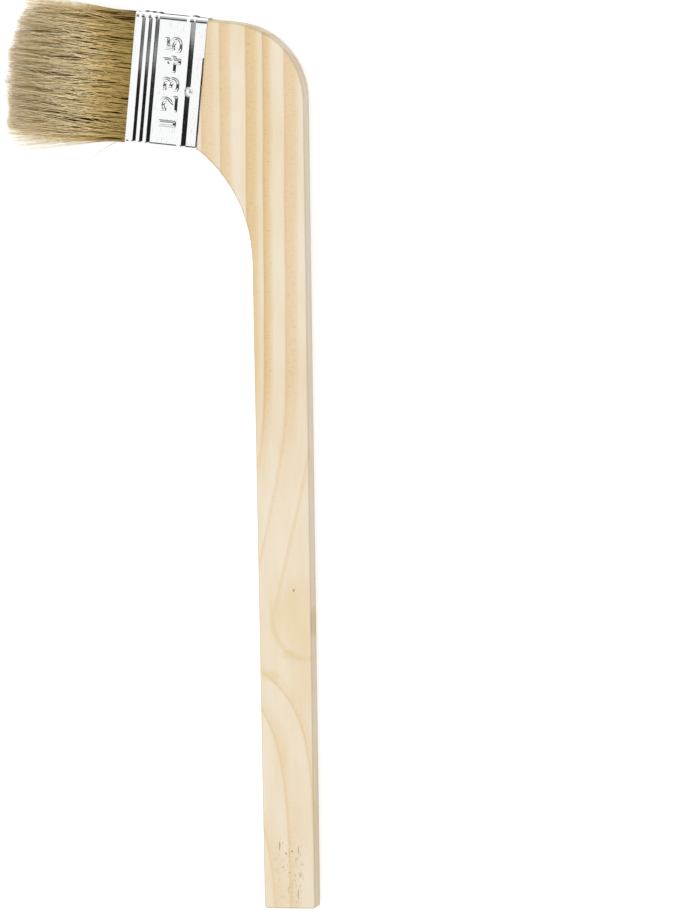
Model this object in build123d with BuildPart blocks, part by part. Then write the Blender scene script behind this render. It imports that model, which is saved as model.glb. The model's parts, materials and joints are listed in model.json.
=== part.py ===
from build123d import *
import math
import os

# Long-handled pastry brush lying on its back: +Z is the front, +Y runs from the butt
# of the handle towards the head, and the bristles point towards -X.  Millimetres.

# ---- driving dimensions ----

# handle, one board of pine
shank_length = 244.0  # butt to where the inner curve of the neck starts
butt_width = 19.6
neck_width = 20.8  # width of the shank where the inner curve starts
neck_rise = 66.7  # from there up to the middle of the head
head_reach = 28.4  # from the middle of the shank out to the ferrule's rim
head_tilt = 6.0  # degrees that the head points above square
crown_radius = 29.3
butt_corner_radius = 1.0
handle_edge_radius = 0.9
tenon_length = 11.5
shoulder_depth = 0.15  # step from the face of the handle down to the tenon

# ferrule, a band of tinned sheet
ferrule_width = 50.0
ferrule_thickness = 10.2
ferrule_length = 27.6
ferrule_corner_radius = 1.8
sheet = 0.4
bead_height = 0.45
mouth_bead_count = 3
mouth_bead_setback = 2.8  # from the mouth to the crest of the first bead
mouth_bead_pitch = 2.6  # neighbouring beads touch, so this is their width too
rim_bead_setback = 6.1  # from the rim to the crest of the bead near the handle
rim_bead_width = 3.3

# nails, one from each face
nail_head_radius = 1.65
nail_head_height = 0.8
nail_shank_radius = 0.6
nail_length = 4.4
nail_point_length = 1.2
nail_setback = 4.5  # from the ferrule's rim
nail_offset = 3.0  # from the middle of the ferrule, one nail to each side

# bristle pack
bristle_length = 46.5  # mouth to tips, in the middle
crown_splay = 1.2  # how far the tips spread past the mouth on the crown's side
shank_splay = 2.6  # and on the side of the shank, where the tuft hangs out further
crown_drop = 8.0  # how much shorter the outermost bristles are on the crown's side
shank_drop = 1.0  # and on the side of the shank
tip_swell = 0.7  # how far the tips spread in thickness, each side
tip_nose = 1.5  # how much shorter the bristles at the two faces are
resin_length = 4.2
spacer_width = 43.0
spacer_thickness = 3.0
spacer_setback = 2.0  # from the mouth down to the end of the spacer
root_lip = 3.0  # how far short of the line that the bristles bend about the roots stop

# clearances
tenon_side_clearance = 0.2
tenon_face_clearance = 0.05
shoulder_gap = 0.1  # between the shoulder of the handle and the ferrule's rim
tenon_end_gap = 0.3
pack_clearance = 0.05
nail_clearance = 0.02
nail_seat_clearance = 0.1
hinge_gap = 0.3
hinge_mouth_gap = 0.35  # from the mouth to the rounded inner end of the free bristles

# ---- sizes that follow ----

inner_width = ferrule_width - 2 * sheet
inner_thickness = ferrule_thickness - 2 * sheet
tenon_width = inner_width - 2 * tenon_side_clearance
tenon_thickness = inner_thickness - 2 * tenon_face_clearance
handle_thickness = tenon_thickness + 2 * shoulder_depth
inner_corner_radius = ferrule_corner_radius - sheet
pack_width = inner_width - 2 * pack_clearance
pack_thickness = inner_thickness - 2 * pack_clearance
pack_corner_radius = inner_corner_radius - pack_clearance
resin_start = tenon_length + tenon_end_gap  # measured from the ferrule's rim
root_start = resin_start + resin_length
hinge_radius = pack_thickness / 2
hinge_line = ferrule_length + hinge_mouth_gap + hinge_radius

# ---- the head's own frame ----
# outward runs from the rim along the ferrule to the bristle tips, across runs over its
# width towards the crown, and the front is +Z; the middle of the thickness is z = 0.

tilt = math.radians(head_tilt)
outward = Vector(-math.cos(tilt), math.sin(tilt), 0)
across = Vector(math.sin(tilt), math.cos(tilt), 0)
front = Vector(0, 0, 1)
head = Vector(-head_reach, shank_length + neck_rise, 0)


def head_point(along, over=0.0, height=0.0):
    """Point in the head: along from the rim, over towards the crown, height to the front."""
    return head + outward * along + across * over + front * height


def section_plane(along):
    """Plane square to the head's axis, its x across the width and its y to the front."""
    return Plane(origin=head_point(along), x_dir=-across, z_dir=outward)


face_plane = Plane(origin=head, x_dir=outward, z_dir=front)  # its y is towards the shank
side_plane = Plane(origin=head, x_dir=outward, z_dir=across)  # its y is towards the front

pieces = {}

# ---- handle ----

shoulder_crown = head_point(-shoulder_gap, tenon_width / 2)
shoulder_inner = head_point(-shoulder_gap, -tenon_width / 2)
butt_inner = Vector(-butt_width / 2, 0, 0)
butt_outer = Vector(butt_width / 2, 0, 0)
neck_inner = Vector(-neck_width / 2, shank_length, 0)
neck_outer = Vector(neck_width / 2, shank_length, 0)

# the outer edge of the shank and the crown edge of the head meet in the crown's corner
edge_run = (neck_outer - butt_outer).normalized()
corner_gap = shoulder_crown - butt_outer
corner_along = corner_gap.cross(outward).Z / edge_run.cross(outward).Z
crown_corner = butt_outer + edge_run * corner_along

with BuildPart() as handle:
    with BuildSketch() as outline:
        with BuildLine():
            inner_edge = Line(butt_inner, neck_inner)
            TangentArc(neck_inner, shoulder_inner, tangent=inner_edge % 1)
            Polyline(shoulder_inner, shoulder_crown, crown_corner, butt_outer, butt_inner)
        make_face()
        fillet(outline.vertices().sort_by_distance(crown_corner)[0], crown_radius)
        fillet(outline.vertices().group_by(Axis.Y)[0], butt_corner_radius)
    extrude(amount=handle_thickness / 2, both=True)
    rims = handle.faces().filter_by(Axis.Z).edges()
    shoulders = handle.faces().sort_by_distance(head_point(-shoulder_gap))[0].edges()
    fillet(rims - shoulders, handle_edge_radius)

    # the tenon starts at the shoulder and goes to its own length inside the ferrule
    with BuildSketch(section_plane(-shoulder_gap)):
        RectangleRounded(tenon_width, tenon_thickness, inner_corner_radius)
    extrude(amount=tenon_length + shoulder_gap)

    for side in (1, -1):
        pilot = head_point(nail_setback, -side * nail_offset, side * tenon_thickness / 2)
        with BuildSketch(Plane(origin=pilot, z_dir=front * side)):
            Circle(nail_shank_radius + nail_clearance)
        extrude(amount=-nail_length, mode=Mode.SUBTRACT)

pieces["handle"] = handle

# ---- ferrule ----
# the wall's profile, beads and all, is swept once around the rounded rectangle

bead_crests = [(rim_bead_setback, rim_bead_width)]
for bead in reversed(range(mouth_bead_count)):
    crest = ferrule_length - mouth_bead_setback - bead * mouth_bead_pitch
    bead_crests.append((crest, mouth_bead_pitch))


def bead_arc(crest, width, depth):
    """Arc over a bead, at a depth below the outer skin of the sheet."""
    radius = (width ** 2 / 4 + bead_height ** 2) / (2 * bead_height)
    inner_radius = radius - depth
    half = math.sqrt(inner_radius ** 2 - (radius - bead_height - depth) ** 2)
    ends = ((crest - half, -depth), (crest + half, -depth))
    ThreePointArc(ends[0], (crest, bead_height - depth), ends[1])
    return ends


def wall_line(depth):
    """One skin of the ferrule's wall, from the rim to the mouth."""
    last = (0, -depth)
    for crest, width in bead_crests:
        start, end = bead_arc(crest, width, depth)
        if start[0] - last[0] > 0.001:
            Line(last, start)
        last = end
    Line(last, (ferrule_length, -depth))


with BuildSketch(section_plane(0)) as girth:
    RectangleRounded(ferrule_width, ferrule_thickness, ferrule_corner_radius)
girth_wire = girth.sketch.wire()
away = (girth_wire % 0).cross(outward)  # out of the ferrule, where its girth starts
if away.dot(girth_wire @ 0 - head) < 0:
    away = -away

with BuildPart() as ferrule:
    with BuildSketch(Plane(origin=girth_wire @ 0, x_dir=outward, z_dir=outward.cross(away))):
        with BuildLine():
            wall_line(0)
            wall_line(sheet)
            Line((0, 0), (0, -sheet))
            Line((ferrule_length, 0), (ferrule_length, -sheet))
        make_face()
    sweep(path=girth_wire)

    # the bead is pressed flat under each nail head
    for side in (1, -1):
        nail_spot = head_point(nail_setback, -side * nail_offset, side * ferrule_thickness / 2)
        nail_plane = Plane(origin=nail_spot, z_dir=front * side)
        with BuildSketch(nail_plane):
            Circle(nail_head_radius + nail_seat_clearance + sheet)
        extrude(amount=-sheet)
        with BuildSketch(nail_plane):
            Circle(nail_head_radius + nail_seat_clearance)
        extrude(amount=2 * bead_height, mode=Mode.SUBTRACT)
        with BuildSketch(nail_plane):
            Circle(nail_shank_radius + nail_clearance)
        extrude(amount=-2 * sheet, mode=Mode.SUBTRACT)

pieces["ferrule"] = ferrule

# ---- nails ----

for name, side in (("front_nail", 1), ("back_nail", -1)):
    seat = head_point(nail_setback, -side * nail_offset, side * ferrule_thickness / 2)
    with BuildPart() as nail:
        with BuildSketch(Plane(origin=seat, x_dir=(1, 0, 0), z_dir=(0, -side, 0))):
            with BuildLine():
                TangentArc((0, nail_head_height), (nail_head_radius, 0), tangent=(1, 0))
                Polyline(
                    (nail_head_radius, 0),
                    (nail_shank_radius, 0),
                    (nail_shank_radius, nail_point_length - nail_length),
                    (0, -nail_length),
                    (0, nail_head_height),
                )
            make_face()
        revolve(axis=Axis(seat, front))
    pieces[name] = nail

# ---- what the ferrule holds ----

with BuildPart() as setting_resin:
    with BuildSketch(section_plane(resin_start)):
        RectangleRounded(pack_width, pack_thickness, pack_corner_radius)
    extrude(amount=resin_length)
pieces["setting_resin"] = setting_resin

with BuildPart() as bristle_spacer:
    with BuildSketch(section_plane(root_start)):
        RectangleRounded(spacer_width, spacer_thickness, spacer_thickness / 4)
    extrude(amount=ferrule_length - spacer_setback - root_start)
pieces["bristle_spacer"] = bristle_spacer

# the roots fill the mouth around the spacer and end in a hollow round the bending line
with BuildPart() as bristle_roots:
    with BuildSketch(section_plane(root_start)):
        RectangleRounded(pack_width, pack_thickness, pack_corner_radius)
    extrude(amount=hinge_line - root_lip - root_start)
    with BuildSketch(section_plane(root_start)):
        RectangleRounded(
            spacer_width + 2 * pack_clearance,
            spacer_thickness + 2 * pack_clearance,
            spacer_thickness / 4,
        )
    extrude(amount=ferrule_length - spacer_setback + pack_clearance - root_start, mode=Mode.SUBTRACT)
    with BuildSketch(side_plane):
        with Locations((hinge_line, 0)):
            Circle(hinge_radius + hinge_gap)
    extrude(amount=pack_width, both=True, mode=Mode.SUBTRACT)
pieces["bristle_roots"] = bristle_roots

# ---- free bristles ----
# the side profile, run across the width, is cut to the outline seen from the front

tip_line = ferrule_length + bristle_length
crown_tip = (tip_line - crown_drop, -pack_width / 2 - crown_splay)
shank_tip = (tip_line - shank_drop, pack_width / 2 + shank_splay)
face_tips = [(tip_line - tip_nose, side * (hinge_radius + tip_swell)) for side in (1, -1)]

with BuildPart() as bristle_tuft:
    with BuildSketch(side_plane):
        with BuildLine():
            ThreePointArc(
                (hinge_line, hinge_radius),
                (hinge_line - hinge_radius, 0),
                (hinge_line, -hinge_radius),
            )
            Line((hinge_line, hinge_radius), face_tips[0])
            ThreePointArc(face_tips[0], (tip_line, 0), face_tips[1])
            Line(face_tips[1], (hinge_line, -hinge_radius))
        make_face()
    extrude(amount=ferrule_width, both=True)
    with BuildSketch(face_plane):
        with BuildLine():
            Polyline(
                crown_tip,
                (ferrule_length, -pack_width / 2),
                (ferrule_length, pack_width / 2),
                shank_tip,
            )
            ThreePointArc(shank_tip, (tip_line, 0), crown_tip)
        make_face()
    extrude(amount=ferrule_thickness, both=True, mode=Mode.INTERSECT)
pieces["bristle_tuft"] = bristle_tuft

# ---- frame and files ----
# the origin is the middle of the underside of the box round all the pieces

envelope = Compound([piece.part for piece in pieces.values()]).bounding_box()
origin = Vector(envelope.center().X, envelope.center().Y, envelope.min.Z)

os.makedirs("parts", exist_ok=True)
for name, piece in pieces.items():
    piece.part.move(Location(-origin))
    piece.part.label = name
    export_step(piece.part, f"parts/{name}.step")

hinge_point = head_point(hinge_line) - origin
hinge_axis = across
rest_point = Vector(0, shank_length / 2, -handle_thickness / 2) - origin
print("size", envelope.size)
print("bristles bend about", hinge_point, "axis", hinge_axis)
print("back of the handle", rest_point)
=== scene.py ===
import json
import math
import bpy
import numpy as np
from mathutils import Matrix, Vector
from mathutils.bvhtree import BVHTree


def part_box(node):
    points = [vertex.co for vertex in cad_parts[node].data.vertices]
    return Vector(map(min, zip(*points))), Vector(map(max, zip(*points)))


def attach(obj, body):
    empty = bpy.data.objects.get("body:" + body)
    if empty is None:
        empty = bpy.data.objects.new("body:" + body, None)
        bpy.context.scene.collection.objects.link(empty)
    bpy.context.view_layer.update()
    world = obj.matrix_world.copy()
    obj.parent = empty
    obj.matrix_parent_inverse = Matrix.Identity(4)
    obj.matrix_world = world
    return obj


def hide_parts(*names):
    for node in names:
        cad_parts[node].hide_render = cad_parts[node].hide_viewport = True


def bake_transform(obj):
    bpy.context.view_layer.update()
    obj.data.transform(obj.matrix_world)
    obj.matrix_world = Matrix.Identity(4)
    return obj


# A long-handled pastry brush lying on its back: pine handle, beaded tin ferrule, hog bristles.

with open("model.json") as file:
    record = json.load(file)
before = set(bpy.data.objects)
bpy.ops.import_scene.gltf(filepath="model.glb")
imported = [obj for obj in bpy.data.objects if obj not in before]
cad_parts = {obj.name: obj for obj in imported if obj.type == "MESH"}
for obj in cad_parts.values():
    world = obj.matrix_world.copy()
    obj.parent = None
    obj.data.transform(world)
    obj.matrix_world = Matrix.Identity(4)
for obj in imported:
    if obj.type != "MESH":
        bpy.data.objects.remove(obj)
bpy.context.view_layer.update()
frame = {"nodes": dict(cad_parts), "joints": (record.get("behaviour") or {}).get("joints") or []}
mm = 0.001


class Number:  # a node's output that adds Math nodes when it is used in a sum
    def __init__(self, finish, socket):
        self.finish = finish
        self.socket = socket

    def math(self, operation, *others):
        sockets = dict(enumerate((self,) + others))
        return self.finish.node("ShaderNodeMath", {"operation": operation}, sockets)

    def __add__(self, other):
        return self.math("ADD", other)

    __radd__ = __add__

    def __sub__(self, other):
        return self.math("SUBTRACT", other)

    def __rsub__(self, other):
        return (self * -1).math("ADD", other)

    def __mul__(self, other):
        return self.math("MULTIPLY", other)

    __rmul__ = __mul__

    def __truediv__(self, other):
        return self.math("DIVIDE", other)

    def __pow__(self, other):
        return self.math("POWER", other)


class Finish:
    def __init__(self, name, owner=None):
        self.owner = owner or bpy.data.materials.new(name)
        self.owner.use_nodes = True
        self.tree = self.owner.node_tree
        self.tree.nodes.clear()

    def node(self, kind, settings=None, sockets=None, output=0):
        made = self.tree.nodes.new(kind)
        for key, value in (settings or {}).items():
            if key == "stops":
                self.setStops(made.color_ramp, value)
            else:
                setattr(made, key, value)
        for key, value in (sockets or {}).items():
            if isinstance(value, Number):
                self.tree.links.new(value.socket, made.inputs[key])
            else:
                made.inputs[key].default_value = value
        return Number(self, made.outputs[output] if made.outputs else None)

    def setStops(self, ramp, stops):
        while len(ramp.elements) > 1:
            ramp.elements.remove(ramp.elements[-1])
        for index, (place, colour) in enumerate(stops):
            element = ramp.elements[0] if index == 0 else ramp.elements.new(place)
            element.position = place
            element.color = colour

    def smooth(self, value, low, high):
        settings = {"interpolation_type": "SMOOTHSTEP"}
        return self.node("ShaderNodeMapRange", settings, {0: value, 1: low, 2: high})

    def mix(self, share, first, second):
        sockets = {0: share, 6: first, 7: second}
        return self.node("ShaderNodeMix", {"data_type": "RGBA"}, sockets, 2)

    def ramp(self, value, stops):
        return self.node("ShaderNodeValToRGB", {"stops": stops}, {0: value})

    def millimetres(self):
        place = self.node("ShaderNodeTexCoord", output="Object")
        toMillimetres = {"Vector": place, "Scale": (1000, 1000, 1000)}
        scaled = self.node("ShaderNodeMapping", None, toMillimetres)
        return [self.node("ShaderNodeSeparateXYZ", None, {0: scaled}, axis) for axis in range(3)]

    def noise(self, x, y, z, detail=2.0, roughness=0.5):
        place = self.node("ShaderNodeCombineXYZ", None, {0: x, 1: y, 2: z})
        sockets = {"Vector": place, "Scale": 1.0, "Detail": detail, "Roughness": roughness}
        return self.node("ShaderNodeTexNoise", None, sockets)

    def surface(self, sockets, height=None, depth=0.0):
        if height is not None:
            bump = {"Height": height, "Distance": depth, "Strength": 1.0}
            sockets = dict(sockets, Normal=self.node("ShaderNodeBump", None, bump))
        shader = self.node("ShaderNodeBsdfPrincipled", None, sockets)
        self.node("ShaderNodeOutputMaterial", None, {"Surface": shader})
        return self.owner


def tint(code):  # a screen colour's code as linear light
    parts = [int(code[i:i + 2], 16) / 255 for i in (0, 2, 4)]
    linear = [p / 12.92 if p <= 0.04045 else ((p + 0.055) / 1.055) ** 2.4 for p in parts]
    return (*linear, 1.0)


def deselect():
    if bpy.context.object and bpy.context.object.mode != "OBJECT":
        bpy.ops.object.mode_set(mode="OBJECT")
    bpy.ops.object.select_all(action="DESELECT")


def verticesOf(piece):
    places = np.empty(len(piece.data.vertices) * 3, np.float32)
    piece.data.vertices.foreach_get("co", places)
    return places.reshape(-1, 3).astype(float)


def moveVertices(piece, places):
    piece.data.vertices.foreach_set("co", places.astype(np.float32).ravel())
    piece.data.update()


def smoothStep(value, low, high):
    t = np.clip((value - low) / (high - low), 0, 1)
    return t * t * (3 - 2 * t)


# the head's own axes and faces, from the frame
flex = frame["joints"][0]
across = Vector(flex["axis"]).normalized()
outward = Vector((-across.y, across.x, 0))
front = Vector((0, 0, 1))


def spanOf(node, direction):
    reach = verticesOf(frame["nodes"][node]) @ np.array(direction)
    return reach.min(), reach.max()


rimAt, mouthAt = spanOf("ferrule", outward)
lowSide, highSide = spanOf("ferrule", across)
backFace, frontFace = spanOf("ferrule", front)
midOver = (lowSide + highSide) / 2
midHeight = (backFace + frontFace) / 2
mouth = outward * mouthAt + across * midOver + front * midHeight


def headPoints(along, over, height):
    # along runs out of the mouth towards the tips, over runs towards the crown
    parts = np.multiply.outer(along, outward) + np.multiply.outer(over, across)
    return parts + np.multiply.outer(height, front) + np.array(mouth)


ferruleSet = {
    "beadHeight": 0.45 * mm,
    "sheet": 0.4 * mm,
    "edge": 0.08 * mm,  # rounding of the sheet's cut edges
    "insideRows": 8,
    "cornerRadius": 1.8 * mm,
    "mouthBeads": [2.8 * mm, 5.4 * mm, 8.0 * mm],  # crests, back from the mouth
    "mouthBeadWidth": 2.6 * mm,
    "rimBead": 21.5 * mm,
    "rimBeadWidth": 3.3 * mm,
    "shallowEnds": 0.4,  # how much flatter the relief is round the narrow sides
    "flatUnderNail": 1.75 * mm,
    "nailEdges": (-0.3 * mm, 0.1 * mm),  # where the relief starts and is whole, from there
    "lap": 4.0 * mm,  # how far the sheet's end lies over its start
    "lapLift": 0.3 * mm,
    "lapAt": -9.0 * mm,  # where on the back, over from the middle
    "lapRise": (1.2 * mm, 0.2 * mm),  # where the lap starts to lift and is lifted, before it
    "lapRows": 2 * mm,  # fine columns start this far before the lap
    "digits": "1 2 3 4 5",
    "digitHeight": 6.2 * mm,
    "digitLength": 33.0 * mm,  # all of them together
    "digitAt": 15.4 * mm,  # their middle, back from the mouth
    "digitRows": (11.6 * mm, 19.2 * mm),  # where the mesh is fine enough to hold them
    "digitRelief": 0.4 * mm,
    "digitBold": 0.022,
    "digitSpacing": 0.9,
    "digitSoftening": 3,  # rounds of smoothing
    "digitMargin": 1 * mm,
    "rowStops": [1.3 * mm, 9.6 * mm, 11.6 * mm, 19.2 * mm, 23.4 * mm],  # back from the mouth
    "rowSteps": [0.4 * mm, 0.15 * mm, 0.5 * mm, 0.15 * mm, 0.15 * mm, 0.6 * mm],
    "flatStep": 0.9 * mm,
    "curvedStep": 0.28 * mm,
    "frontStep": 0.6 * mm,
    "digitStep": 0.15 * mm,
    "lapStep": 0.3 * mm,
    # shallow dents of thin sheet: a height in mm, and lengths round and along it in metres
    "dents": ((0.018, 6.1e-3, 9.0e-3), (0.014, 3.7e-3, 5.2e-3), (0.02, 11e-3, 4.1e-3)),
    "smoothUnder": math.radians(50),
    "paleTin": "FEFEFE",
    "greyTin": "F6F7F8",
}


def digitShapes(size):
    deselect()
    bpy.ops.object.text_add()
    words = bpy.context.object
    words.data.body = size["digits"]
    words.data.align_x = "CENTER"
    words.data.align_y = "CENTER"
    words.data.offset = size["digitBold"]
    words.data.space_character = size["digitSpacing"]
    bpy.ops.object.convert(target="MESH")
    places = verticesOf(words)
    middle = (places.min(axis=0) + places.max(axis=0)) / 2
    extent = places.max(axis=0) - places.min(axis=0)
    stretch = np.array([size["digitLength"] / extent[0], size["digitHeight"] / extent[1], 1])
    places = (places - middle) * stretch
    faces = [tuple(face.vertices) for face in words.data.polygons]
    tree = BVHTree.FromPolygons([Vector(place) for place in places], faces)
    bpy.data.objects.remove(words)
    return tree


def stepsBetween(stops, steps):
    rows = [np.arange(a, b, step) for a, b, step in zip(stops[:-1], stops[1:], steps)]
    return np.concatenate(rows + [[stops[-1]]])


def beadRelief(back, crest, width, height):
    radius = (width ** 2 / 4 + height ** 2) / (2 * height)
    inside = np.clip(radius ** 2 - (back - crest) ** 2, 0, None)
    return np.clip(np.sqrt(inside) - (radius - height), 0, None)


def ferruleRows(size, length):
    # rows run over the outside from the mouth to the rim and return along the inside
    edge, sheet = size["edge"], size["sheet"]
    outer = stepsBetween([edge] + size["rowStops"] + [length - edge], size["rowSteps"])
    inner = np.linspace(length - edge, edge, size["insideRows"])
    backs = np.concatenate([outer, [length, length], inner, [0, 0], outer[:1]])
    depths = np.concatenate([0 * outer, [-edge, edge - sheet], 0 * inner - sheet,
                             [edge - sheet, -edge], [0]])
    outside = np.concatenate([0 * outer + 1, [0, 0], 0 * inner, [0, 0], [1]])
    return backs, depths, outside


def ferruleGirth(size):
    # lengths once round the sheet, from the lap on the back by way of the shank's side
    radius = size["cornerRadius"]
    width = highSide - lowSide - 2 * size["beadHeight"]
    thick = frontFace - backFace - 2 * size["beadHeight"]
    flatOver, flatHeight = width - 2 * radius, thick - 2 * radius
    arc = math.pi / 2 * radius
    backRun = flatOver / 2 + size["lapAt"]
    return {
        "radius": radius, "halfWidth": width / 2, "halfThick": thick / 2, "arc": arc,
        "flatOver": flatOver, "flatHeight": flatHeight, "backRun": backRun,
        "frontStart": backRun + 2 * arc + flatHeight,
        "whole": 2 * (flatOver + flatHeight) + 4 * arc,
    }


def ferruleColumns(size, girth):
    backRun, arc, flatHeight = girth["backRun"], girth["arc"], girth["flatHeight"]
    frontStart, flatOver = girth["frontStart"], girth["flatOver"]
    margin = size["digitMargin"]
    digitStart = frontStart + flatOver / 2 - size["digitLength"] / 2 - margin
    digitEnd = digitStart + size["digitLength"] + 2 * margin
    stops = [0, backRun, backRun + arc, frontStart - arc, frontStart, digitStart, digitEnd,
             frontStart + flatOver, frontStart + flatOver + arc,
             frontStart + flatOver + arc + flatHeight, frontStart + flatOver + 2 * arc + flatHeight,
             girth["whole"] - size["lapRows"], girth["whole"] + size["lap"]]
    flat, curved, wide = size["flatStep"], size["curvedStep"], size["frontStep"]
    around = stepsBetween(stops, [flat, curved, flat, curved, wide, size["digitStep"], wide,
                                  curved, flat, curved, flat, size["lapStep"]])
    return around, np.nonzero((around > digitStart) & (around < digitEnd))[0]


def flatsUnderNails(size, girth, turnAt, along, overFront):
    # one, falling to nothing under the two nail heads
    flattened = np.ones_like(along + turnAt)
    inner, outer = size["nailEdges"]
    for name in ("front_nail", "back_nail"):
        low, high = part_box(name)
        centre = (low + high) / 2
        nailBack = mouthAt - centre.dot(outward)
        nailOver = centre.dot(across) - midOver
        if name == "front_nail":
            sideways = overFront - nailOver
        else:
            sideways = girth["whole"] - turnAt - (nailOver - size["lapAt"])
        distance = np.hypot(sideways, along - nailBack)
        flattened = flattened * smoothStep(
            distance, size["flatUnderNail"] + inner, size["flatUnderNail"] + outer)
    return flattened


def digitRelief(size, tree, overFront, backs, columns, rows):
    # one where a ray through the flat digits meets them, softened at the edges
    digits = np.zeros((len(overFront), len(backs)))
    for i in columns:
        for j in rows:
            spot = Vector((overFront[i, 0], size["digitAt"] - backs[j], 1))
            digits[i, j] = tree.ray_cast(spot, Vector((0, 0, -1)))[0] is not None
    for _ in range(size["digitSoftening"]):
        for axis in (0, 1):
            digits = (np.roll(digits, 1, axis) + 2 * digits + np.roll(digits, -1, axis)) / 4
    return digits


def thinSheetDents(size, turnAt, along):
    wide, narrow, crossed = size["dents"]
    return (wide[0] * np.sin(turnAt / wide[1] + along / wide[2])
            + narrow[0] * np.sin(turnAt / narrow[1] - along / narrow[2] + 1.3)
            + crossed[0] * np.sin(turnAt / crossed[1] + 2.0) * np.cos(along / crossed[2])) * mm


def bendRoundGirth(size, girth, turn):
    # places and outward normals of the bare girth, over and in height
    radius, arc, lapAt = girth["radius"], girth["arc"], size["lapAt"]
    halfW, halfT = girth["halfWidth"], girth["halfThick"]
    flatHeight, flatOver, backRun = girth["flatHeight"], girth["flatOver"], girth["backRun"]
    runs = [  # length, start, and the direction and normal of a flat or the first angle of an arc
        (backRun, (lapAt, -halfT), ((-1, 0), (0, -1))),
        (arc, (-halfW + radius, -halfT + radius), -90),
        (flatHeight, (-halfW, -halfT + radius), ((0, 1), (-1, 0))),
        (arc, (-halfW + radius, halfT - radius), 180),
        (flatOver, (-halfW + radius, halfT), ((1, 0), (0, 1))),
        (arc, (halfW - radius, halfT - radius), 90),
        (flatHeight, (halfW, halfT - radius), ((0, -1), (1, 0))),
        (arc, (halfW - radius, -halfT + radius), 0),
        (flatOver - backRun, (halfW - radius, -halfT), ((-1, 0), (0, -1))),
    ]
    over, height, normalOver, normalHeight = [np.zeros_like(turn) for _ in range(4)]
    start, hair = 0, 1e-9
    for run, place, heading in runs:
        here = (turn >= start - hair) & (turn <= start + run + hair)
        gone = turn[here] - start
        if isinstance(heading, tuple):
            direction, facing = heading
            over[here] = place[0] + direction[0] * gone
            height[here] = place[1] + direction[1] * gone
            normalOver[here], normalHeight[here] = facing
        else:
            angle = math.radians(heading) - gone / radius
            normalOver[here], normalHeight[here] = np.cos(angle), np.sin(angle)
            over[here] = place[0] + radius * np.cos(angle)
            height[here] = place[1] + radius * np.sin(angle)
        start += run
    return over, height, normalOver, normalHeight


def makeFerrule(size):
    tree = digitShapes(size)
    girth = ferruleGirth(size)
    backs, depths, outside = ferruleRows(size, mouthAt - rimAt)
    around, digitColumns = ferruleColumns(size, girth)

    deselect()
    bpy.ops.mesh.primitive_grid_add(
        x_subdivisions=len(around) - 1, y_subdivisions=len(backs) - 1, size=1)
    skin = bpy.context.object
    skin.name = "ferrule_skin"
    flat = verticesOf(skin)
    column = np.rint((flat[:, 0] + 0.5) * (len(around) - 1)).astype(int)
    row = np.rint((flat[:, 1] + 0.5) * (len(backs) - 1)).astype(int)

    along = backs[None, :]
    turnAt = around[:, None]
    relief = size["beadHeight"]
    beads = sum(beadRelief(along, crest, size["mouthBeadWidth"], relief)
                for crest in size["mouthBeads"])
    beads = beads + beadRelief(along, size["rimBead"], size["rimBeadWidth"], relief)
    overFront = turnAt - (girth["frontStart"] + girth["flatOver"] / 2)
    flattened = flatsUnderNails(size, girth, turnAt, along, overFront)
    firstRow, lastRow = size["digitRows"]
    digitRows = np.nonzero(outside * (backs > firstRow) * (backs < lastRow))[0]
    digits = digitRelief(size, tree, overFront, backs, digitColumns, digitRows)
    dents = thinSheetDents(size, turnAt, along)
    lift = (beads * flattened + digits * size["digitRelief"] + dents) * outside[None, :]
    lapStart, lapFull = size["lapRise"]
    lapLift = size["lapLift"] * smoothStep(
        turnAt, girth["whole"] - lapStart, girth["whole"] - lapFull)
    stand = depths[None, :] + lift + lapLift

    turn = np.mod(around, girth["whole"])[:, None] + 0 * along
    over, height, normalOver, normalHeight = bendRoundGirth(size, girth, turn)
    stand = stand * (1 - size["shallowEnds"] * normalOver ** 2 * (stand > 0))
    places = headPoints(-(along + 0 * turnAt), over + normalOver * stand,
                        height + normalHeight * stand)
    moveVertices(skin, places[column, row])

    bpy.ops.object.mode_set(mode="EDIT")
    bpy.ops.mesh.select_all(action="SELECT")
    bpy.ops.mesh.remove_doubles(threshold=1e-6)
    bpy.ops.mesh.select_all(action="DESELECT")
    bpy.ops.mesh.select_non_manifold()
    bpy.ops.mesh.fill_holes(sides=0)
    bpy.ops.mesh.select_all(action="SELECT")
    bpy.ops.mesh.normals_make_consistent(inside=False)
    bpy.ops.object.mode_set(mode="OBJECT")
    bpy.ops.object.shade_smooth_by_angle(angle=size["smoothUnder"])
    print("ferrule", len(skin.data.polygons), "faces")
    return skin


def tinFinish(size):
    tin = Finish("bright_tinned_sheet")
    x, y, z = tin.millimetres()
    along = x * outward.x + y * outward.y
    over = x * across.x + y * across.y
    rub = tin.noise(along * 0.35, over * 4.0, z * 4.0, 4.0, 0.6)  # fine lines along the sheet
    cloud = tin.noise(x * 0.12, y * 0.12, z * 0.12, 3.0)
    scratch = tin.noise(along * 6.0, over * 0.25, z * 0.25, 2.0, 0.5)
    marks = tin.smooth(scratch, 0.68, 0.74)
    colour = tin.mix(cloud, tint(size["greyTin"]), tint(size["paleTin"]))
    rough = 0.03 + rub * 0.04 + cloud * 0.03 + marks * 0.12
    height = rub * 0.4 + marks * -1.0
    return tin.surface({"Base Color": colour, "Metallic": 1.0, "Roughness": rough},
                       height, 0.004 * mm)


nailSet = {
    "darkSteel": "F4F5F6",
    "paleSteel": "FEFEFE",
    "metallic": 0.6,
    "roughness": (0.16, 0.1),  # the least, and how much the grain adds
}


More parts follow.
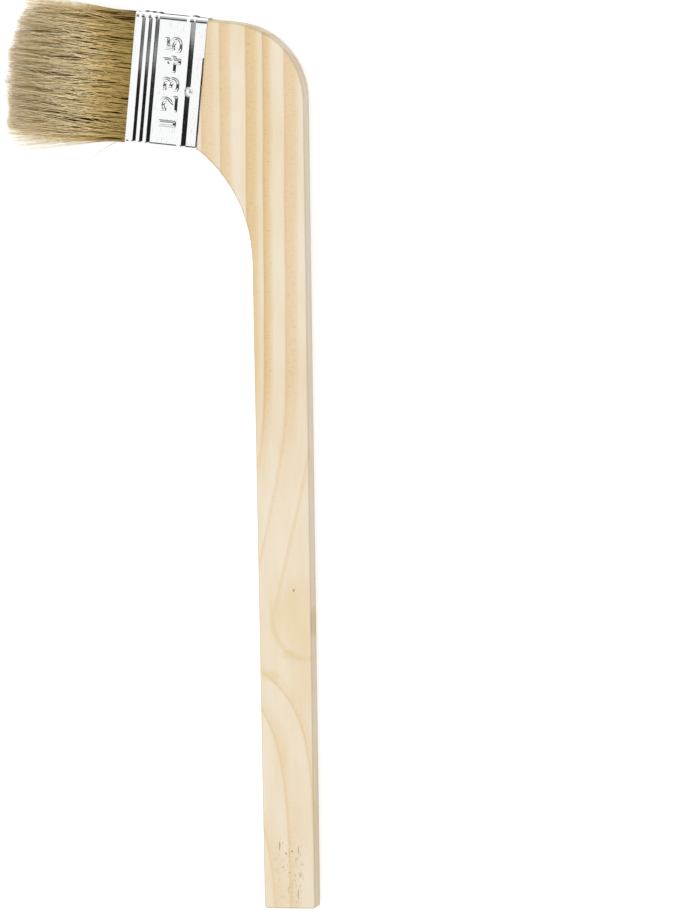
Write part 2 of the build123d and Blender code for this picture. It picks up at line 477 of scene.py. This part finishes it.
def nailFinish(size):
    steel = Finish("bright_nail_steel")
    x, y, z = steel.millimetres()
    grain = steel.noise(x * 2.5, y * 2.5, z * 2.5, 3.0)
    colour = steel.mix(grain, tint(size["darkSteel"]), tint(size["paleSteel"]))
    least, added = size["roughness"]
    return steel.surface({"Base Color": colour, "Metallic": size["metallic"],
                          "Roughness": least + grain * added}, grain, 0.01 * mm)


tuftSet = {
    "seed": 11,
    "spacing": 0.25 * mm,  # between neighbouring bristles in the pack
    "radius": 0.14 * mm,
    "tipRadius": 0.3,  # as a share of the radius
    "rootDepth": 3.0 * mm,  # how far in from the mouth the strands start
    "length": 47.5 * mm,
    "segments": 10,
    "crownDrop": 3.0 * mm,  # how much shorter the pack is at its sides
    "shankDrop": 0.8 * mm,
    "crownSplay": -1.8 * mm,
    "shankSplay": -1.0 * mm,
    "swell": 0.6 * mm,
    "floorGap": 0.3 * mm,
    "cornerCurl": 1.9 * mm,  # the crown's corner curls in
    "cornerShort": 11,  # and its strands end early by up to this, in mm
    "lockSpacing": 0.48 * mm,
    "lockDraw": (0.55, 0.92),  # how far strands go to the middle of their lock
    "clumpSpacing": 2.2 * mm,
    "clumpDraw": (0.05, 0.4),  # and locks to the middle of their clump
    "lockWave": 0.27 * mm,
    "lockBeat": (0.5, 1.8),  # waves in a whole length
    "ownWave": 0.09 * mm,
    "ownBeat": (0.5, 1.6),
    "lockTip": (0.9, 0.5),  # spread of the tips over and in height, in mm
    "clumpTip": (0.8, 0.4),
    "ownTip": (0.55, 0.35),
    "clumpReach": 1.0,  # spread of the lengths, in mm
    "shortfall": 2.8,  # what single strands lack in length, in mm: the mean
    "mostShort": 13,
    "lateShare": 0.08,  # young strands, which lack more
    "lateShort": (2, 16),
    "looseShare": 0.14,  # these keep to no lock
    "looseDraw": 0.1,
    "looseTip": 2.6,
    "rimTip": 0.35,  # what is left of a tip's spread out of the pack's sides
    "middleTone": 0.5,
    "paintedDeepShade": -0.42,  # painted shade: strands inside the pack darker than those at its faces
    "deepBetween": (0.04, 0.34),
    "lockTone": 0.35,
    "ownTone": 0.2,
    "boldShare": 0.8,  # of the loose ones, pale and thick
    "boldTone": (0.82, 1.0),
    "boldRadius": 0.4,
}

straySet = {
    "fringe": 360,
    "crossings": 320,
    "shankShare": 0.55,  # of the fringe, on the shank's side
    "inset": 2.5,  # mean distance in from the pack's side, in mm
    "drift": 2.8,  # mean, in mm
    "crownDrift": 0.5,  # as a share of the shank side's
    "rise": 0.6,
    "shortfall": 4,
    "crossingDrift": 5.5,
    "crossingRise": (0.9, 1.5),
    "crossingReach": (24, 44),
    "crossingRadius": (1.0, 1.5),
    "frontShare": 0.7,
    "curlyShare": 0.16,
    "curlyDrift": 14,
    "radius": (0.6, 1.1),
    "bow": 1.1,
    "beat": (0.4, 1.0),
    "tone": (0.94, 0.05),  # mean and spread
}


def bristleTemplate(size):
    # one tapered strand of unit length, standing on the origin
    deselect()
    bpy.ops.mesh.primitive_cone_add(
        vertices=4, radius1=1, radius2=size["tipRadius"], depth=1, location=(0, 0, 0.5),
        rotation=(0, 0, math.pi / 4), end_fill_type="NOTHING")  # a flat side faces up
    strand = bpy.context.object
    bpy.ops.object.transform_apply(location=True, rotation=True)
    bpy.ops.object.mode_set(mode="EDIT")
    bpy.ops.mesh.select_mode(type="EDGE")  # before the choice, or the end rings are cut too
    bpy.ops.mesh.select_all(action="DESELECT")
    bpy.ops.object.mode_set(mode="OBJECT")
    for side in strand.data.edges:
        ends = [strand.data.vertices[v].co.z for v in side.vertices]
        side.select = abs(ends[0] - ends[1]) > 0.5
    bpy.ops.object.mode_set(mode="EDIT")
    bpy.ops.mesh.subdivide(number_cuts=size["segments"] - 1)
    bpy.ops.mesh.select_all(action="SELECT")
    bpy.ops.mesh.normals_make_consistent(inside=False)
    bpy.ops.object.mode_set(mode="OBJECT")
    places = verticesOf(strand)
    faces = np.array([face.vertices[:] for face in strand.data.polygons])
    print("one bristle", len(faces), "faces")
    bpy.data.objects.remove(strand)
    return places, faces


def packOfRoots(size, chance):
    width = highSide - lowSide - 2 * ferruleSet["beadHeight"] - 2 * ferruleSet["sheet"]
    thick = frontFace - backFace - 2 * ferruleSet["beadHeight"] - 2 * ferruleSet["sheet"]
    half = np.array([width / 2, thick / 2]) - size["radius"] * 1.5
    steps = [np.arange(-h, h, size["spacing"]) for h in half]
    over, height = [grid.ravel() for grid in np.meshgrid(*steps)]
    over = over + chance.uniform(-0.5, 0.5, len(over)) * size["spacing"]
    height = height + chance.uniform(-0.5, 0.5, len(over)) * size["spacing"]
    return np.clip(over, -half[0], half[0]), np.clip(height, -half[1], half[1]), half


def tipLength(size, over, half):
    crown = np.clip(over / half, 0, 1) ** 2.4 * size["crownDrop"]
    shank = np.clip(-over / half, 0, 1) ** 2 * size["shankDrop"]
    return size["length"] - crown - shank


def growBristles(size):
    chance = np.random.default_rng(size["seed"])
    over, height, half = packOfRoots(size, chance)
    count = len(over)

    # neighbours draw together in thin locks, and the locks in loose clumps
    def gather(spacing):
        steps = [np.arange(-h, h, spacing) + spacing / 2 for h in half]
        centres = np.stack([grid.ravel() for grid in np.meshgrid(*steps)], axis=1)
        centres = centres + chance.uniform(-0.6, 0.6, centres.shape) * spacing
        gaps = (over[:, None] - centres[:, 0]) ** 2 + (height[:, None] - centres[:, 1]) ** 2
        return centres, gaps.argmin(axis=1)

    locks, ownLock = gather(size["lockSpacing"])
    clumps, ownClump = gather(size["clumpSpacing"])
    lockDraw = chance.uniform(*size["lockDraw"], len(locks))[ownLock]
    clumpDraw = chance.uniform(*size["clumpDraw"], len(clumps))[ownClump]
    lockTip = chance.normal(0, 1, (len(locks), 2))[ownLock] * np.array(size["lockTip"]) * mm
    clumpTip = chance.normal(0, 1, (len(clumps), 2))[ownClump] * np.array(size["clumpTip"]) * mm
    lockWave = chance.uniform(0, 2 * math.pi, (len(locks), 2))[ownLock]
    lockBeat = chance.uniform(*size["lockBeat"], (len(locks), 2))[ownLock]
    lockTone = chance.normal(0, 1, len(locks))[ownLock]
    clumpReach = chance.normal(0, size["clumpReach"], len(clumps))[ownClump] * mm

    t = np.linspace(0, 1, size["segments"] + 1)
    reach = tipLength(size, over, half[0]) + clumpReach
    reach = reach - np.minimum(chance.exponential(size["shortfall"], count), size["mostShort"]) * mm
    late = chance.random(count) < size["lateShare"]
    reach = np.where(late, reach - chance.uniform(*size["lateShort"], count) * mm, reach)
    corner = np.clip(over / half[0], 0, 1) ** 3
    reach = reach - corner * chance.random(count) ** 1.4 * size["cornerShort"] * mm
    along = -size["rootDepth"] + np.multiply.outer(reach + size["rootDepth"], t)
    free = np.clip(along / size["length"], 0, 1.1)

    splay = np.where(over > 0, size["crownSplay"], size["shankSplay"]) * over / half[0]
    swell = size["swell"] * height / half[1]
    ownWave = chance.uniform(0, 2 * math.pi, (count, 2))
    ownBeat = chance.uniform(*size["ownBeat"], (count, 2))
    ownTip = chance.normal(0, 1, (count, 2)) * np.array(size["ownTip"]) * mm
    loose = chance.random(count) < size["looseShare"]
    ownTip = ownTip * np.where(loose, size["looseTip"], 1)[:, None]
    lockDraw = np.where(loose, size["looseDraw"], lockDraw)
    tips = lockTip + clumpTip + ownTip
    rim = smoothStep(np.abs(over) / half[0], 0.8, 0.95) * np.sign(over)
    tips[:, 0] = np.where(tips[:, 0] * rim > 0, tips[:, 0] * size["rimTip"], tips[:, 0])

    def sideways(start, lock, clump, spread, axis):
        path = start[:, None] + spread[:, None] * free ** 1.1
        path = path + ((lock - start) * lockDraw)[:, None] * smoothStep(free, -0.04, 0.3)
        path = path + ((clump - lock) * clumpDraw)[:, None] * smoothStep(free, 0.1, 1.0)
        path = path + tips[:, axis, None] * free ** 1.5
        if axis == 0:
            path = path - size["cornerCurl"] * corner[:, None] * smoothStep(free, 0.55, 1.05)
        path = path + size["lockWave"] * np.sqrt(free) * np.sin(
            lockWave[:, axis, None] + 2 * math.pi * lockBeat[:, axis, None] * free)
        return path + size["ownWave"] * np.sqrt(free) * np.sin(
            ownWave[:, axis, None] + 2 * math.pi * ownBeat[:, axis, None] * free)

    pathOver = sideways(over, locks[ownLock, 0], clumps[ownClump, 0], splay, 0)
    pathHeight = sideways(height, locks[ownLock, 1], clumps[ownClump, 1], swell, 1)
    deep = smoothStep(1 - np.abs(height) / half[1], *size["deepBetween"])
    # painted shade: strands deep in the pack get a darker tone, standing in for the shade between
    # them
    tone = size["middleTone"] + size["paintedDeepShade"] * deep + size["lockTone"] * lockTone
    tone = tone + size["ownTone"] * chance.normal(0, 1, count)
    tone = tone + 0.05 * np.sin(over / 3.1e-3) + 0.04 * np.sin(over / 1.3e-3 + 1)
    bold = loose & (chance.random(count) < size["boldShare"])
    tone = np.where(bold & (deep < 0.6), chance.uniform(*size["boldTone"], count), tone)
    radius = size["radius"] * (0.75 + 0.5 * chance.random(count) + size["boldRadius"] * bold)
    return along, pathOver, pathHeight, radius, tone


def growStrays(size, loose):
    # loose hairs: a fringe round the tips, mostly on the shank's side, and some that cross
    chance = np.random.default_rng(size["seed"] + 1)
    _, _, half = packOfRoots(size, chance)
    count = loose["fringe"] + loose["crossings"]
    shankSide = chance.random(count) < loose["shankShare"]
    over = np.where(shankSide, -half[0] + chance.exponential(loose["inset"], count) * mm,
                    half[0] - chance.exponential(loose["inset"], count) * mm)
    height = chance.uniform(-0.8, 1, count) * half[1]
    drift = np.where(shankSide, -1, loose["crownDrift"])
    drift = drift * chance.exponential(loose["drift"], count) * mm
    rise = chance.normal(0, loose["rise"], count) * mm
    reach = size["length"] - np.abs(chance.normal(0, loose["shortfall"], count)) * mm
    reach = np.where(over > half[0] * 0.8, reach - size["crownDrop"] * 0.7, reach)

    crossing = np.arange(count) >= loose["fringe"]
    over = np.where(crossing, chance.uniform(-0.95, 0.85, count) * half[0], over)
    face = np.where(chance.random(count) < loose["frontShare"], 1, -1)
    height = np.where(crossing, half[1] * face, height)
    curly = crossing & (chance.random(count) < loose["curlyShare"])
    drift = np.where(crossing, chance.normal(0, loose["crossingDrift"], count) * mm, drift)
    drift = np.where(curly, chance.normal(0, loose["curlyDrift"], count) * mm, drift)
    standOff = np.sign(height) * chance.uniform(*loose["crossingRise"], count) * mm
    rise = np.where(crossing, standOff, rise)
    reach = np.where(crossing, chance.uniform(*loose["crossingReach"], count) * mm, reach)

    t = np.linspace(0, 1, size["segments"] + 1)
    along = -size["rootDepth"] + np.multiply.outer(reach + size["rootDepth"], t)
    free = np.clip(along / size["length"], 0, 1.1)
    bow = chance.normal(0, loose["bow"], (count, 2)) * mm
    beat = chance.uniform(*loose["beat"], (count, 2))
    pathOver = over[:, None] + drift[:, None] * free ** 1.3 + bow[:, :1] * np.sin(
        2 * math.pi * beat[:, :1] * free) * free
    pathHeight = height[:, None] + rise[:, None] * np.sqrt(free) + 0.3 * bow[:, 1:] * np.sin(
        2 * math.pi * beat[:, 1:] * free) * free
    middleTone, toneSpread = loose["tone"]
    tone = middleTone + toneSpread * chance.normal(0, 1, count)
    radius = size["radius"] * np.where(crossing, chance.uniform(*loose["crossingRadius"], count),
                                       chance.uniform(*loose["radius"], count))
    return along, pathOver, pathHeight, radius, tone


def bristlePiece(name, size, template, strands):
    along, over, height, radius, tone = strands
    ring, faces = template
    count, rows = along.shape
    step = np.rint(ring[:, 2] * (rows - 1)).astype(int)
    low = size["floorGap"] + size["radius"] - midHeight  # nothing dips into the table
    height = np.maximum(height, low)
    centres = headPoints(along[:, step], over[:, step], height[:, step])
    spread = radius[:, None] * ring[None, :, 0]
    lift = radius[:, None] * ring[None, :, 1]
    places = centres + spread[..., None] * np.array(across) + lift[..., None] * np.array(front)
    corners = (faces[None] + len(ring) * np.arange(count)[:, None, None]).reshape(-1, 4)

    mesh = bpy.data.meshes.new(name)
    mesh.from_pydata(places.reshape(-1, 3).tolist(), [], corners.tolist())
    layer = mesh.uv_layers.new(name="OFBake")
    sides = np.arctan2(ring[:, 1], ring[:, 0]) / (2 * math.pi)
    tone = np.clip(tone, 0.02, 0.98)
    u = np.broadcast_to(0.01 + 0.98 * ring[:, 2], (count, len(ring)))
    v = tone[:, None] + 0.006 * sides[None, :]
    spots = np.stack([u, v], axis=-1).reshape(-1, 2)[corners.ravel()]
    layer.data.foreach_set("uv", spots.astype(np.float32).ravel())
    mesh.polygons.foreach_set("use_smooth", np.ones(len(corners), bool))
    mesh.update()
    piece = bpy.data.objects.new(name, mesh)
    bpy.context.scene.collection.objects.link(piece)
    return piece


hairSet = {
    # from the deepest tone to the palest
    "shades": [(0.0, "2A200A"), (0.25, "745D2C"), (0.5, "B3995A"),
               (0.75, "E6C885"), (1.0, "FFEBBA")],
    "streak": "7A5C2A",
    "tip": "FFF2D6",
}


def bristleFinish(size):
    hair = Finish("hog_bristle")
    strandMap = hair.node("ShaderNodeUVMap", {"uv_map": "OFBake"})
    u = hair.node("ShaderNodeSeparateXYZ", None, {0: strandMap}, 0)
    tone = hair.node("ShaderNodeSeparateXYZ", None, {0: strandMap}, 1)
    root = hair.smooth(u, 0.55, 0.1)
    paler = hair.smooth(u, 0.42, 0.88)
    tip = hair.smooth(u, 0.8, 0.98)
    lit = tone * (1 + paler * 0.1) - root * 0.33 + paler * 0.5 - 0.11
    shade = hair.ramp(lit, [(place, tint(code)) for place, code in size["shades"]])
    streak = hair.noise(u * 14.0, tone * 60.0, 0.0, 2.0)
    shade = hair.mix(hair.smooth(streak, 0.45, 0.65) * 0.4, shade, tint(size["streak"]))
    shade = hair.mix(paler * 0.06 + tip * 0.5, shade, tint(size["tip"]))
    return hair.surface({"Base Color": shade, "Roughness": 0.42, "Specular IOR Level": 0.05})


pineSet = {
    # growth rings in the head, in mm: where each dark band starts and ends, and how dark it is
    "rings": [(12.0, 14.8, 0.45), (17.5, 22.5, 0.7), (24.7, 28.6, 0.7), (34.4, 38.8, 0.95),
              (41.0, 44.0, 1.0), (49.1, 53.8, 0.7), (59.1, 63.0, 0.6)],
    "thinFrom": 3,  # the rings that go on down the shank as thin lines
    "firstRing": 8.0,
    "ringSpan": 64.0,
    "knotAt": (54.0, -60.5),
    "knotSize": (12.3, 17.0),
    # arches open towards the butt: foot, reach, top, fall and strength
    "arches": [(57.0, 21.0, -81.0, 14.0, 0.6), (47.5, 11.5, -94.0, 17.0, 0.6),
               (42.5, 6.0, -138.0, 20.0, 0.5)],
    # spots: middle, half width and half length, and a strength
    "stains": [(57.6, -63.5, 1.5, 8.0, 0.55), (57.6, -88.0, 0.9, 3.0, 0.3)],
    "yellows": [(48.0, -75.5, 3.4, 2.4, 0.4), (41.0, -83.5, 4.5, 2.4, 0.35)],
    "knotDot": (50.4, -51.2, 0.35, 0.7),
    "nicks": [(43.3, -147.9, 0.14, 2.2), (45.7, -150.7, 0.4, 0.3), (48.1, -149.8, 0.3, 0.5),
              (50.5, -149.4, 0.12, 2.0), (51.0, -158.8, 0.16, 1.4), (50.2, -166.0, 0.14, 2.6),
              (44.6, -156.0, 0.3, 0.25), (46.9, -158.0, 0.25, 0.2)],
    "dashesWithin": (47.5, -155.0, 8.0, 22.0),
    "pale": ("F4E6CF", "EFDCBB"),
    "amber": ("E3C088", "EACB99"),
    "inKnotRing": "EFCF9B",
    "fibre": "E3C799",
    "fleck": "D9B983",
    "ringEdge": "B79A6C",
    "crossMarks": "D6A96A",
    "darkPores": "D0B182",
    "palePores": "FAF0DC",
    "stain": "C9A65E",
    "yellow": "E6D08F",
    "nick": "6B4A2C",
    "endGrain": "C9A675",
    # grey for the eased edges, part rubbed wear and part painted shade
    "edgeWearAndShade": "B3A88F",
    # painted shade for the upright side faces
    "side": "DCD2BE",
}


def ringStops(size):
    # three ramps across the rings: broad bands, thin lines, and their sharp edges
    def stop(place, level):
        return place, (level, level, level, 1)

    bands, lines, edges = [stop(0.0, 0)], [stop(0.0, 0)], [stop(0.0, 0)]
    for index, (start, end, depth) in enumerate(size["rings"]):
        sharp = (start - size["firstRing"]) / size["ringSpan"]
        last = (end - size["firstRing"]) / size["ringSpan"]
        bands += [stop(sharp - 0.004, 0), stop(sharp + 0.003, depth),
                  stop(last - 0.018, depth * 0.72), stop(last + 0.012, 0)]
        edges += [stop(sharp - 0.007, 0), stop(sharp, depth), stop(sharp + 0.009, 0)]
        if index >= size["thinFrom"]:
            lines += [stop(sharp - 0.012, 0), stop(sharp, 0.42), stop(sharp + 0.02, 0.06)]
    return bands, lines, edges


def pineFinish(size):
    pine = Finish("bare_pine")
    x, y, z = pine.millimetres()

    def wood(acrossGrain, alongGrain, detail=2.0, roughness=0.5):
        return pine.noise(x * acrossGrain, y * alongGrain, z * acrossGrain, detail, roughness)

    def tinge(colour, share, name):
        return pine.mix(share, colour, tint(size[name]))

    slow = wood(0.05, 0.012)
    wander = (slow - 0.5) * 2.2
    u = x + wander + 0.35 * (z - 10.7) - 0.8 * pine.smooth(y, 60.0, 150.0)

    # growth rings: straight in the head, drifting to the inner edge down the shank
    drift = ((8 - y) / 8).math("EXPONENT") + 1
    ring = (u + drift.math("LOGARITHM", math.e) * 1.92 - size["firstRing"]) / size["ringSpan"]
    bands, lines, edges = [pine.ramp(ring, stops) for stops in ringStops(size)]
    edge = pine.node("ShaderNodeRGBToBW", None, {0: edges})
    upper = pine.smooth(y, -8.0, 36.0)
    above = pine.smooth(y, -64.0, -54.0)
    grain = pine.mix(upper, lines, bands)
    grain = pine.node("ShaderNodeRGBToBW", None, {0: grain}) * above

    # the last ring loops round the buried knot at the outer edge
    (knotX, knotY), (knotWidth, knotLength) = size["knotAt"], size["knotSize"]
    knotRing = (((x - knotX) / knotWidth) ** 2 + ((y - knotY) / knotLength) ** 2).math("SQRT")
    loop = ((knotRing - 1.0 + (slow - 0.5) * 0.2) * 12.0).math("ABSOLUTE")
    loop = pine.smooth(loop, 1.4, 0.0) * (1 - above) * pine.smooth(y, -82.0, -76.0) * 0.35
    inside = pine.smooth(knotRing, 1.05, 0.55) * 0.22

    # below it the rings rise as arches
    def arch(foot, reach, top, fall, strength):
        rise = ((y - top) / fall).math("EXPONENT")
        slope = ((rise * (reach / fall)) ** 2 + 1).math("SQRT")
        distance = (x + wander * 0.4 - foot + rise * reach) / slope
        core = pine.smooth(distance.math("ABSOLUTE"), 0.9, 0.0)
        halo = pine.smooth(distance, 4.5, 0.0) * pine.smooth(distance, -0.6, 0.2)
        return (core * 0.6 + halo * 0.4) * strength

    low = pine.smooth(y, -74.0, -82.0)
    grain = grain + loop + sum(arch(*shape) for shape in size["arches"]) * low
    band = grain.math("MINIMUM", 1.0)

    fibre = wood(3.2, 0.055, 4.0, 0.6)
    fleck = wood(1.4, 2.6)
    blotch = wood(0.09, 0.02)
    pale = pine.mix(pine.smooth(blotch, 0.35, 0.7), *[tint(code) for code in size["pale"]])
    amber = pine.mix(fleck, *[tint(code) for code in size["amber"]])
    colour = pine.mix(band, pale, amber)
    colour = tinge(colour, inside, "inKnotRing")
    colour = tinge(colour, pine.smooth(fibre, 0.5, 0.75) * 0.22, "fibre")
    colour = tinge(colour, pine.smooth(fleck, 0.62, 0.72) * 0.10, "fleck")
    colour = tinge(colour, edge * upper * 0.35, "ringEdge")
    # short marks across the grain, in the dark bands only
    ladder = pine.smooth(wood(0.45, 1.7, 3.0, 0.65), 0.54, 0.66) * band
    colour = tinge(colour, ladder * 0.5, "crossMarks")
    pores = wood(7.0, 0.16)
    colour = tinge(colour, pine.smooth(pores, 0.6, 0.72) * 0.16, "darkPores")
    colour = tinge(colour, pine.smooth(pores, 0.42, 0.3) * 0.25, "palePores")

    # stains on the outer edge, a dot by the knot and small nicks near the butt
    def spot(atX, atY, halfX, halfY):
        away = ((x - atX) / halfX) ** 2 + ((y - atY) / halfY) ** 2
        return pine.smooth(away, 1.0, 0.2)

    for name, places in (("stain", size["stains"]), ("yellow", size["yellows"])):
        spread = sum(spot(*place) * strength for *place, strength in places)
        colour = tinge(colour, spread, name)
    marks = spot(*size["knotDot"])
    for nick in size["nicks"]:
        marks = marks.math("MAXIMUM", spot(*nick))
    dashes = pine.smooth(wood(2.6, 0.5, 3.0, 0.6), 0.6, 0.67)
    dashes = dashes * pine.smooth(y, -136.0, -150.0) * spot(*size["dashesWithin"])
    marks = marks.math("MAXIMUM", dashes * 0.55) * pine.smooth(z, 8.0, 10.0)
    colour = tinge(colour, marks * 0.75, "nick")

    # cut across, the grain takes up more dirt; the eased edges are greyed, partly as rubbed wear
    # and partly as painted shade, and the side faces get a painted grey shade
    facing = pine.node("ShaderNodeNewGeometry", output="Normal")
    end, up = [pine.node("ShaderNodeSeparateXYZ", None, {0: facing}, axis) for axis in (1, 2)]
    colour = tinge(colour, pine.smooth(end, -0.75, -0.98) * 0.45, "endGrain")
    up = up.math("ABSOLUTE")
    eased = pine.smooth(up, 0.15, 0.4) * pine.smooth(up, 0.98, 0.8)
    # eased edges greyer by their facing: part rubbed wear, part painted shade
    colour = tinge(colour, eased * (0.2 + fibre * 0.3), "edgeWearAndShade")
    # painted shade: faces that stand upright are tinted grey
    colour = tinge(colour, pine.smooth(up, 0.5, 0.1) * 0.3, "side")
    rough = 0.56 + fibre * 0.14 - grain * 0.05
    height = fibre * 0.6 + fleck * 0.25 - marks * 2.0
    return pine.surface({"Base Color": colour, "Roughness": rough, "Specular IOR Level": 0.35},
                        height, 0.05 * mm)


# name, dark and light colour, and roughness
hiddenFinishes = {
    "setting_resin": ("cured_resin", "4A3218", "6B4A22", 0.25),
    "bristle_spacer": ("spacer_strip", "B08D5C", "C9A877", 0.7),
}


def plainFinish(name, dark, light, rough):
    plain = Finish(name)
    x, y, z = plain.millimetres()
    grain = plain.noise(x * 0.8, y * 0.8, z * 0.8, 3.0)
    colour = plain.mix(grain, tint(dark), tint(light))
    return plain.surface({"Base Color": colour, "Roughness": rough})


studio = {
    "worldLight": 0.8,
    "keyPower": 8.0,
    "keyAt": (-0.9, 0.35, 1.5),
    "keySize": 1.1,
    "floorGlow": 0.5,
    "floorSize": 8,
    "floorAt": -0.2 * mm,
    "paper": ("E9E9E9", "EDEDED"),
    # black cards that only reflections show: left, right, near and far edge, height, glow
    "cards": {
        "card_right": (-0.108, 1.3, -0.27, 0.17, 0.7, 0.012),
        "card_crown": (-0.35, 0.5, 0.17, 0.5, 0.7, 0.03),
        "card_behind": (-0.4, 0.5, 0.5, 2.0, 0.7, 0.5),
        "card_foot": (-0.35, -0.108, -0.5, -0.07, 0.7, 0.03),
    },
    "rightLift": (96.0, 112.0, 0.4),  # the right card gets paler between these, in mm
    # the painted shadow strip that only reflections show
    "stripWidth": 4.0 * mm,
    "stripGlow": 0.16,
    "lens": 600.0,
    "distance": 5.7,
    "aim": (0.0678, -0.0007, 0.006),
    "towards": (0.2, 0.09, 0.97565),
    "roll": -0.94,
}


def showsBackground(finish):
    rays = [finish.node("ShaderNodeLightPath", output=kind)
            for kind in ("Is Camera Ray", "Is Glossy Ray", "Is Transmission Ray")]
    return rays[0].math("MAXIMUM", rays[1]).math("MAXIMUM", rays[2])


def makeWorld(setup):
    world = bpy.data.worlds.new("studio_white")
    bpy.context.scene.world = world
    sky = Finish("studio_white", world)
    strength = showsBackground(sky) * (1 - setup["worldLight"]) + setup["worldLight"]
    light = sky.node("ShaderNodeBackground", None, {"Color": (1, 1, 1, 1), "Strength": strength})
    sky.node("ShaderNodeOutputWorld", None, {"Surface": light})


def makeFloor(setup):
    deselect()
    bpy.ops.mesh.primitive_plane_add(size=setup["floorSize"], location=(0, 0, setup["floorAt"]))
    floor = bpy.context.object
    floor.name = "studio_floor"
    paper = Finish("white_paper")
    x, y, z = paper.millimetres()
    tooth = paper.noise(x * 0.5, y * 0.5, z, 2.0)
    colour = paper.mix(tooth, *[tint(code) for code in setup["paper"]])
    glow = showsBackground(paper) * setup["floorGlow"]
    sheet = {"Base Color": colour, "Roughness": 0.9, "Specular IOR Level": 0.0,
             "Emission Color": (1, 1, 1, 1), "Emission Strength": glow}
    floor.data.materials.append(paper.surface(sheet))


def makeLights(setup):
    data = bpy.data.lights.new("key", "AREA")
    data.energy = setup["keyPower"]
    data.size = setup["keySize"]
    key = bpy.data.objects.new("key", data)
    bpy.context.scene.collection.objects.link(key)
    key.location = setup["keyAt"]
    key.visible_glossy = False
    key.rotation_euler = (-key.location).to_track_quat("-Z", "Y").to_euler()


def glowing(finish, strength):  # black but for the light it gives off
    return finish.surface({"Base Color": (0, 0, 0, 1), "Specular IOR Level": 0.0, "Roughness": 1.0,
                           "Emission Color": (1, 1, 1, 1), "Emission Strength": strength})


def makeCard(setup, name, left, right, near, far, height, glow):
    deselect()
    middle = ((left + right) / 2, (near + far) / 2, height)
    bpy.ops.mesh.primitive_plane_add(size=1, location=middle)
    card = bpy.context.object
    card.name = name
    card.scale = (right - left, far - near, 1)
    bpy.ops.object.transform_apply(location=True, rotation=True, scale=True)
    black = Finish(name)
    if name == "card_right":  # paler where it meets the crown's side
        x, y, z = black.millimetres()
        low, high, lift = setup["rightLift"]
        glow = black.smooth(y + x * 0.15, low, high) * lift + glow
    card.data.materials.append(glowing(black, glow))
    onlyInReflections(card)


def makeStrip(setup):
    # a painted shadow that only reflections show: a grey strip on the table, close along the crown
    # side of the ferrule, standing in for the table's shade there
    deselect()
    bpy.ops.mesh.primitive_plane_add(size=1)
    strip = bpy.context.object
    strip.name = "reflected_shadow_strip"
    spots = verticesOf(strip)
    along = -(mouthAt - rimAt) * (0.5 + spots[:, 0] * 1.1)
    over = highSide - midOver + setup["stripWidth"] * (0.5 + spots[:, 1])
    moveVertices(strip, headPoints(along, over, 0 * over - midHeight + 0.05 * mm))
    strip.data.materials.append(glowing(Finish("reflected_shadow_strip"), setup["stripGlow"]))
    onlyInReflections(strip)


def onlyInReflections(card):
    card.visible_camera = False
    card.visible_diffuse = False
    card.visible_shadow = False
    card.visible_transmission = False


def makeCamera(setup):
    data = bpy.data.cameras.new("camera")
    data.lens = setup["lens"]
    data.clip_end = 50
    camera = bpy.data.objects.new("camera", data)
    bpy.context.scene.collection.objects.link(camera)
    bpy.context.scene.camera = camera
    towards = Vector(setup["towards"]).normalized()
    right = Vector((0, 1, 0)).cross(towards).normalized()
    up = towards.cross(right)
    turn = math.radians(setup["roll"])
    tiltedRight = math.cos(turn) * right + math.sin(turn) * up
    tiltedUp = towards.cross(tiltedRight)
    axes = Matrix((tiltedRight, tiltedUp, towards)).transposed().to_4x4()
    camera.matrix_world = Matrix.Translation(
        Vector(setup["aim"]) + towards * setup["distance"]) @ axes
    bpy.context.scene.view_settings.view_transform = "Standard"


makeCamera(studio)
makeWorld(studio)
makeFloor(studio)
makeLights(studio)
for cardName, place in studio["cards"].items():
    makeCard(studio, cardName, *place)
makeStrip(studio)
print("studio ready")

ferrule = makeFerrule(ferruleSet)
ferrule.data.materials.append(tinFinish(ferruleSet))
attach(ferrule, "handle_and_ferrule")
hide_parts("ferrule")
print("ferrule ready")

template = bristleTemplate(tuftSet)
hair = bristleFinish(hairSet)
tuft = growBristles(tuftSet)
layers = ["bristles_back", "bristles_middle_back", "bristles_middle_front", "bristles_front"]
order = np.argsort(tuft[2][:, 0])
pieces = []
for name, chosen in zip(layers, np.array_split(order, len(layers))):
    pieces.append(bristlePiece(name, tuftSet, template, [part[chosen] for part in tuft]))
strays = growStrays(tuftSet, straySet)
pieces.append(bristlePiece("stray_bristles", tuftSet, template, strays))
for piece in pieces:
    piece.data.materials.append(hair)
    mouth + outward * 0.028
    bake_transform(piece)
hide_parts("bristle_tuft", "bristle_roots")
print("bristles", len(tuft[3]))

finishes = {
    "handle": pineFinish(pineSet),
    "front_nail": nailFinish(nailSet),
    "back_nail": nailFinish(nailSet),
}
for name, values in hiddenFinishes.items():
    finishes[name] = plainFinish(*values)
for name, finish in finishes.items():
    node = frame["nodes"][name]
    node.data.materials.clear()
    node.data.materials.append(finish)
print("finishes ready")
